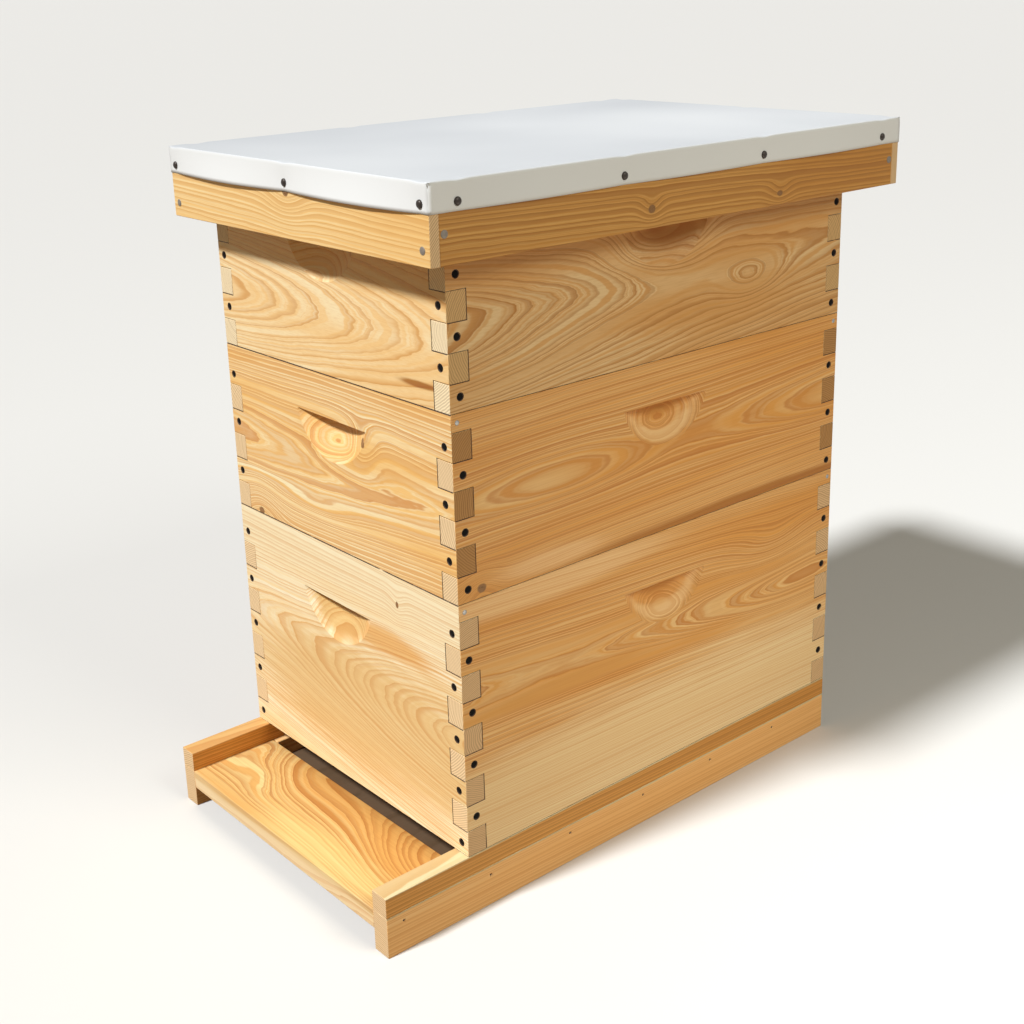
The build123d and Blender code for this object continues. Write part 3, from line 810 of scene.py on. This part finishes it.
def make_wax():
    """Waxed foundation: hexagons a cell wide, with a raised rim and a shallow floor in painted shade."""
    made = bpy.data.materials.new("waxed_foundation")
    made.use_nodes = True
    tree = made.node_tree
    place = wire(tree, "TexCoord", {}).outputs["Object"]
    parts = wire(tree, "SeparateXYZ", {"Vector": place}).outputs
    flat = wire(tree, "CombineXYZ", {"X": parts["Y"], "Y": parts["Z"]}).outputs[0]
    lattice = (cell, cell * math.sqrt(3), 1.0)
    rims = []
    for shift in (0.0, 0.5):
        moved = (shift * lattice[0], shift * lattice[1], 0.0)
        offset = wire(tree, "VectorMath", {0: flat, 1: moved}).outputs[0]
        wrapped = wire(tree, "VectorMath", {0: offset, 1: lattice}, operation="MODULO").outputs[0]
        wrapped = wire(tree, "VectorMath", {0: wrapped, 1: lattice}, operation="ADD").outputs[0]
        wrapped = wire(tree, "VectorMath", {0: wrapped, 1: lattice}, operation="MODULO").outputs[0]
        half = (lattice[0] / 2, lattice[1] / 2, 0.0)
        centred = wire(tree, "VectorMath", {0: wrapped, 1: half}, operation="SUBTRACT").outputs[0]
        size = wire(tree, "VectorMath", {0: centred}, operation="ABSOLUTE").outputs[0]
        xy = wire(tree, "SeparateXYZ", {"Vector": size}).outputs
        slant = calc(tree, "MULTIPLY_ADD", xy["Y"], math.sqrt(3) / 2, calc(tree, "MULTIPLY", xy["X"], 0.5))
        rims.append(calc(tree, "MAXIMUM", xy["X"], slant))
    reach = calc(tree, "MINIMUM", *rims)
    rim = step_between(tree, reach, cell * 0.36, cell * 0.48)
    # The cell floors are painted darker than the rims, as painted shade.
    cell_floor_shade, cell_rim = (0.80, 0.50, 0.13, 1.0), (0.88, 0.64, 0.24, 1.0)
    bump = wire(tree, "Bump", {"Height": rim, "Strength": 0.6, "Distance": 0.0008})
    feed(tree, tree.nodes["Principled BSDF"], {
        "Base Color": tint(tree, rim, cell_floor_shade, cell_rim), "Roughness": 0.42,
        "Normal": bump.outputs["Normal"],
    })
    return made


wax = make_wax()
for node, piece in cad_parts.items():
    if "_frame_" in node:
        piece.data.materials[0] = frame_lime
    elif node.endswith("_foundation"):
        piece.data.materials[0] = wax


# Inner cover
# A thin plywood panel with an oblong escape hole, tongued into a low rim of pine strips that
# stands on the top box.
veneer = {"sapwood": (0.80, 0.58, 0.31), "heartwood": (0.76, 0.51, 0.25), "late": (0.62, 0.37, 0.16)}
cover_veneer = pine("cover_veneer", along_y, (0.0, 0.0, 0.2), seed=22.0, heart=0.6, **peeled, **veneer)
rim_pine = pine("inner_rim_pine", along_y, (0.06, 0.0, 0.55), (0.01, 0.01), seed=23.0, **straight)
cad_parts["inner_cover_panel"].data.materials[0] = cover_veneer
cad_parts["inner_cover_rims"].data.materials[0] = rim_pine


# Lid rim and panel
# Four pine boards on edge that telescope over the top box, under a plywood panel. The end boards
# lap the sides with a rabbet, and flat galvanised nails hold it where the lip's end shows.
rim_easing = 0.0007
lid_front, lid_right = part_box("lid_front_rim")[0].y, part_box("lid_right_rim")[1].x
rim_blond = {"sapwood": (0.97, 0.74, 0.38), "heartwood": (0.91, 0.55, 0.19), "late": (0.72, 0.36, 0.09)}
rim_brown = {"sapwood": (0.74, 0.41, 0.12), "heartwood": (0.58, 0.255, 0.05), "late": (0.34, 0.12, 0.015)}
rim_knots = {
    "front": (((0.0, lid_front, 0.6405), (0.030, 0.05, 0.024), 0.011, 0.18),),
    "right": (
        ((lid_right, -0.0267, 0.6168), (0.05, 0.014, 0.012), 0.006, 0.36),
        ((lid_right, 0.1437, 0.6109), (0.05, 0.018, 0.012), 0.006, 0.26),
    ),
}
for side in ("front", "back", "left", "right"):
    node = f"lid_{side}_rim"
    low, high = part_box(node)
    grain = along_x if side in ("front", "back") else along_y
    middle = (low + high) / 2
    if grain == along_x:
        pith = (middle.x, high.y + 0.05, low.z - 0.04)
        shades = rim_blond
    else:
        pith = (low.x - 0.05, middle.y, low.z - 0.05)
        shades = rim_brown
    wood = pine(
        f"{node}_pine", grain, pith, (0.012, 0.012), ring=0.0034, wave=0.022, seed=40.0 + 3 * len(node),
        early=0.3, heart=0.02, knots=rim_knots.get(side, ()), **shades,
    )
    shape = merged_copy(node)
    ease_edges(shape, rim_easing)
    mark_end_grain(shape, grain)
    finish_piece(shape, f"{node}_planed", wood, "lid", "box_wood", node)

lid_veneer = pine("lid_veneer", along_y, (0.0, 0.0, 0.3), seed=24.0, heart=0.6, **peeled, **veneer)
panel_easing = 0.004
shape = merged_copy("lid_panel")
ease_edges(shape, panel_easing)
finish_piece(shape, "lid_panel_eased", lid_veneer, "lid", "panel_wood", "lid_panel")

lid_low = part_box("lid_left_rim")[0]
lid_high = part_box("lid_right_rim")[1]
lid_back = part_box("lid_back_rim")[1].y
lid_middle = (lid_front + lid_back) / 2
end_nail_inset, end_nail_rise = 0.0095, 0.013
side_nail_inset, side_nail_rise = 0.01425, 0.025
rim_nails = []
for end in (-1, 1):
    across = end * (lid_high.x - end_nail_inset)
    for out, face in ((-1, lid_front), (1, lid_back)):
        rim_nails.append((Vector((across, face, lid_low.z + end_nail_rise)), Vector((0, out, 0))))
    along = lid_middle + end * ((lid_back - lid_front) / 2 - side_nail_inset)
    for out, face in ((-1, lid_low.x), (1, lid_high.x)):
        rim_nails.append((Vector((face, along, lid_low.z + side_nail_rise)), Vector((out, 0, 0))))
galvanised = plain_metal("galvanised", (0.34, 0.29, 0.24), 0.6, 0.4)
flat_head = [(0.0, -0.0010), (0.0035, -0.0010), (0.0035, 0.0001), (0.0030, 0.0004), (0.0, 0.0004)]
heads = turned_heads(rim_nails, flat_head, 16)
finish_piece(heads, "rim_nail_heads", galvanised, "lid", "bright_nail", "lid_rim_nails")


# White sheet
# One piece of white painted metal, folded down over the panel. Its flanges were bent by hand, so
# they bow between the nails and crease above them, and each corner has a slit.
# Its top is painted greyer than its flanges, partly dust and partly painted shade.
sheet_low, sheet_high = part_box("lid_sheet")
sheet_middle = (sheet_low + sheet_high) / 2
size = sheet_high - sheet_low
sheet_gauge = 0.0007
fold = 0.0013
slit, slit_mouth = 0.0006, 0.0011
crease_depth, crease_width, crease_run = 0.0010, 0.008, 0.006
dent_depth, dent_reach = 0.0004, 0.011
wobble_depth = 0.0002
crown_sag = 0.0004
flange_rows = 8
touching = 1e-5
end_nails = [-0.190, 0.0, 0.190]
side_nail_spacing = 0.17894
side_nails = [lid_middle + (step - 1.5) * side_nail_spacing for step in range(4)]
nail_level = 0.64873
# Each flange's outward way, its nails, and how far it bows out and droops between them
flanges = (
    (Vector((0, -1, 0)), end_nails, 0.0027, 0.0011),
    (Vector((0, 1, 0)), end_nails, 0.0018, 0.0012),
    (Vector((-1, 0, 0)), side_nails, 0.0009, 0.0006),
    (Vector((1, 0, 0)), side_nails, 0.0009, 0.0006),
)


def span_bow(along, nails):
    """How far between two neighbouring nails a point lies: 0 at a nail, 1 halfway."""
    for first, last in zip(nails, nails[1:]):
        if first <= along <= last:
            return math.sin(math.pi * (along - first) / (last - first))
    return 0.0


def near(distance, reach):
    """1 at no distance, fading away beyond the reach."""
    return math.exp(-((distance / reach) ** 2))


def bend_flange(point, outward, along, nails, bow, droop):
    """Moves a point of a flange: out and down between the nails, and into a dent at each nail."""
    depth = max(0.0, (sheet_high.z - fold - point.z) / (sheet_high.z - fold - sheet_low.z))
    share = span_bow(along, nails)
    dent = sum(near(math.hypot(along - nail, point.z - nail_level), dent_reach) for nail in nails)
    wobble = noise.noise(Vector((along * 22.0, point.z * 40.0, bow * 1000.0)))
    bulge = bow * share ** 0.8 * depth ** 1.2
    point += outward * (bulge - dent_depth * dent + wobble_depth * wobble * depth)
    point.z -= droop * share * depth


shape = bmesh.new()
bmesh.ops.create_cube(
    shape, size=1.0, matrix=Matrix.Translation(sheet_middle) @ Matrix.Diagonal((*size, 1.0)),
)
underside = [face for face in shape.faces if face.normal.z < -0.9]
bmesh.ops.delete(shape, geom=underside, context="FACES_ONLY")
crown = [e for e in shape.edges if all(v.co.z > sheet_high.z - touching for v in e.verts)]
bmesh.ops.bevel(
    shape, geom=crown, offset=fold, offset_type="OFFSET", affect="EDGES", segments=3, profile=0.5,
    material=-1,
)
for axis, steps in ((0, 80), (1, 120), (2, flange_rows)):
    normal = Vector((axis == 0, axis == 1, axis == 2))
    for step in range(1, steps):
        spot = sheet_low + normal * size[axis] * step / steps
        if axis == 2 and spot.z > sheet_high.z - fold:
            continue
        geom = shape.verts[:] + shape.edges[:] + shape.faces[:]
        bmesh.ops.bisect_plane(shape, geom=geom, dist=1e-7, plane_co=spot, plane_no=normal)
corners = []
for edge in shape.edges:
    a, b = (v.co for v in edge.verts)
    upright = abs(a.x - b.x) + abs(a.y - b.y) < touching
    at_side = min(a.x - sheet_low.x, sheet_high.x - a.x) < touching
    at_end = min(a.y - sheet_low.y, sheet_high.y - a.y) < touching
    if upright and at_side and at_end:
        corners.append(edge)
bmesh.ops.split_edges(shape, edges=corners)
dust_and_top_shade = shape.faces.layers.float.new("dust_and_top_shade")
for face in shape.faces:
    face[dust_and_top_shade] = max(0.0, face.normal.z)
    face.smooth = True
for outward, nails, bow, droop in flanges:
    reach = max(sheet_low.dot(outward), sheet_high.dot(outward))
    along = 0 if outward.y else 1
    for vert in shape.verts:
        point = vert.co
        from_fold = reach - point.dot(outward) + sheet_high.z - point.z
        crease = sum(near(point[along] - nail, crease_width) for nail in nails) * near(from_fold, crease_run)
        point.z -= crease_depth * crease
    flange = {vert for face in shape.faces if face.normal.dot(outward) > 0.99 for vert in face.verts}
    for vert in flange:
        point = vert.co
        from_corner = min(point[along] - sheet_low[along], sheet_high[along] - point[along])
        below_fold = sheet_high.z - fold - point.z
        if from_corner < touching < below_fold:
            gap = slit_mouth if below_fold < size.z / flange_rows else slit
            point[along] += math.copysign(gap, sheet_middle[along] - point[along])
        bend_flange(point, outward, point[along], nails, bow, droop)
for vert in shape.verts:
    if vert.co.z > sheet_high.z - touching:
        ripple = noise.noise(Vector((vert.co.x * 6.0, vert.co.y * 5.0, 3.0)))
        vert.co.z -= crown_sag * (0.5 + 0.5 * ripple)

white = bpy.data.materials.new("white_paint")
white.use_nodes = True
tree = white.node_tree
place = wire(tree, "TexCoord", {}).outputs["Object"]
soft_noise = {"Vector": place, "Scale": 3.0, "Detail": 2.0, "Roughness": 0.4}
smear = wire(tree, "TexNoise", soft_noise).outputs["Fac"]
smeared = step_between(tree, smear, 0.2, 0.85)
flange_white = tint(tree, smeared, (0.88, 0.89, 0.885, 1.0), (0.83, 0.84, 0.835, 1.0))
# The darker, bluer colour of the upward faces is painted shade as well as dust.
dusty_shaded_white = tint(tree, smeared, (0.66, 0.68, 0.71, 1.0), (0.465, 0.485, 0.52, 1.0))
dusty_and_shaded = wire(tree, "Attribute", {}, attribute_name="dust_and_top_shade").outputs["Fac"]
grit = speckle(tree, place, 1500.0, 2.0)
peel = wire(tree, "Bump", {"Height": grit, "Strength": 0.08, "Distance": 0.0002})
feed(tree, tree.nodes["Principled BSDF"], {
    "Base Color": tint(tree, dusty_and_shaded, flange_white, dusty_shaded_white),
    "Roughness": calc(tree, "MULTIPLY_ADD", smear, 0.25, 0.28),
    "Normal": peel.outputs["Normal"],
    "Specular IOR Level": 0.35,
})
sheet = finish_piece(shape, "folded_sheet", white, "lid", "white_sheet", "lid_sheet")
gauge = sheet.modifiers.new("gauge", "SOLIDIFY")
gauge.thickness = sheet_gauge
gauge.offset = -1.0


# Sheet nails
# Domed nails with dark iron heads that pin the flanges to the rim, three along each end of the
# sheet and four along each side.
dome_nails = []
for out, face in ((-1, sheet_low.y), (1, sheet_high.y)):
    for along in end_nails:
        dome_nails.append((Vector((along, face, nail_level)), Vector((0, out, 0))))
for out in (-1, 1):
    for along in side_nails:
        dome_nails.append((Vector((out * sheet_high.x, along, nail_level)), Vector((out, 0, 0))))
dome_iron = plain_metal("dome_iron", (0.050, 0.036, 0.028), 0.4, 0.5)
dome = [
    (0.0, -0.0012), (0.0036, -0.0012), (0.0036, 0.0), (0.0033, 0.0007),
    (0.0024, 0.0014), (0.0012, 0.0018), (0.0, 0.0019),
]
heads = turned_heads(dome_nails, dome, 16)
finish_piece(heads, "dome_nail_heads", dome_iron, "lid", "dark_nail", "lid_sheet_nails")


# Studio
# A plain pale floor under a pale sky, a soft key from the front, a fill from high on the right and
# a low bounce off the floor.
floor_size = 400.0
backdrop = (0.74, 0.73, 0.71, 1.0)
floor_glow = (0.15, 0.10, 0.05, 1.0)
sky_glow = (0.15, 0.125, 0.09, 1.0)


def seen_as(tree, shown, glow):
    """One colour for the camera and for what gloss and glass show, and a dimmer one that lights the hive."""
    rays = wire(tree, "LightPath", {}).outputs
    mirrored = calc(tree, "MAXIMUM", rays["Is Glossy Ray"], rays["Is Transmission Ray"])
    return tint(tree, calc(tree, "MAXIMUM", rays["Is Camera Ray"], mirrored), glow, shown)


floor_shape = bmesh.new()
bmesh.ops.create_grid(floor_shape, x_segments=1, y_segments=1, size=floor_size / 2)
floor_mesh = bpy.data.meshes.new("studio_floor")
floor_shape.to_mesh(floor_mesh)
floor_shape.free()
studio_floor = bpy.data.objects.new("studio_floor", floor_mesh)
bpy.context.scene.collection.objects.link(studio_floor)
pale = bpy.data.materials.new("pale_floor")
pale.use_nodes = True
tree = pale.node_tree
feed(tree, tree.nodes["Principled BSDF"], {
    "Base Color": seen_as(tree, backdrop, floor_glow), "Roughness": 0.9,
})
floor_mesh.materials.append(pale)
studio_floor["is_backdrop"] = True

world = bpy.context.scene.world or bpy.data.worlds.new("studio")
bpy.context.scene.world = world
world.use_nodes = True
tree = world.node_tree
feed(tree, tree.nodes["Background"], {"Color": seen_as(tree, backdrop, sky_glow)})

key = bpy.data.lights.new("front_key", "SUN")
key.energy = 4.0
key.angle = math.radians(7.0)
key.color = (0.975, 1.0, 1.02)
key_holder = bpy.data.objects.new("front_key", key)
key_holder.rotation_mode = "QUATERNION"
key_holder.rotation_quaternion = Vector((0.10, 1.0, -1.2)).to_track_quat("-Z", "Y")
bpy.context.scene.collection.objects.link(key_holder)


def softbox(name, place, aim, size, power, colour):
    """A square area lamp at the given place, turned to its aim."""
    lamp = bpy.data.lights.new(name, "AREA")
    lamp.shape = "SQUARE"
    lamp.size = size
    lamp.energy = power
    lamp.color = colour
    holder = bpy.data.objects.new(name, lamp)
    holder.location = place
    holder.rotation_mode = "QUATERNION"
    holder.rotation_quaternion = (Vector(aim) - Vector(place)).to_track_quat("-Z", "Y")
    bpy.context.scene.collection.objects.link(holder)


softbox("right_fill", (2.5, 0.30, 2.60), (0.0, 0.05, 0.25), 1.2, 35.5, (0.96, 1.0, 0.94))
softbox("floor_bounce", (0.80, 0.05, 0.03), (0.18, 0.05, 0.08), 0.5, 2.2, (1.0, 0.96, 0.84))

bpy.context.scene.view_settings.view_transform = "Standard"


# Camera
# It stands where the photograph was taken, fitted to the corners of the boxes, rails and lid, and
# its lens is shifted to the photograph's framing.
focal_pixels = 1457.0
image_pixels = 1024.0
axis_row = 430.0
eye = Vector((1.0719, -0.9273, 0.8133))
forward = Vector((-0.7289, 0.6157, -0.2994)).normalized()
roll = math.radians(-1.64)
lens = bpy.data.cameras.new("photo_camera")
lens.sensor_width = 36.0
lens.lens = focal_pixels / image_pixels * lens.sensor_width
lens.shift_y = (axis_row - image_pixels / 2) / image_pixels
camera = bpy.data.objects.new("photo_camera", lens)
camera.location = eye
camera.rotation_mode = "QUATERNION"
camera.rotation_quaternion = forward.to_track_quat("-Z", "Y") @ Matrix.Rotation(roll, 3, "Z").to_quaternion()
bpy.context.scene.collection.objects.link(camera)
bpy.context.scene.camera = camera

low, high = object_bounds()
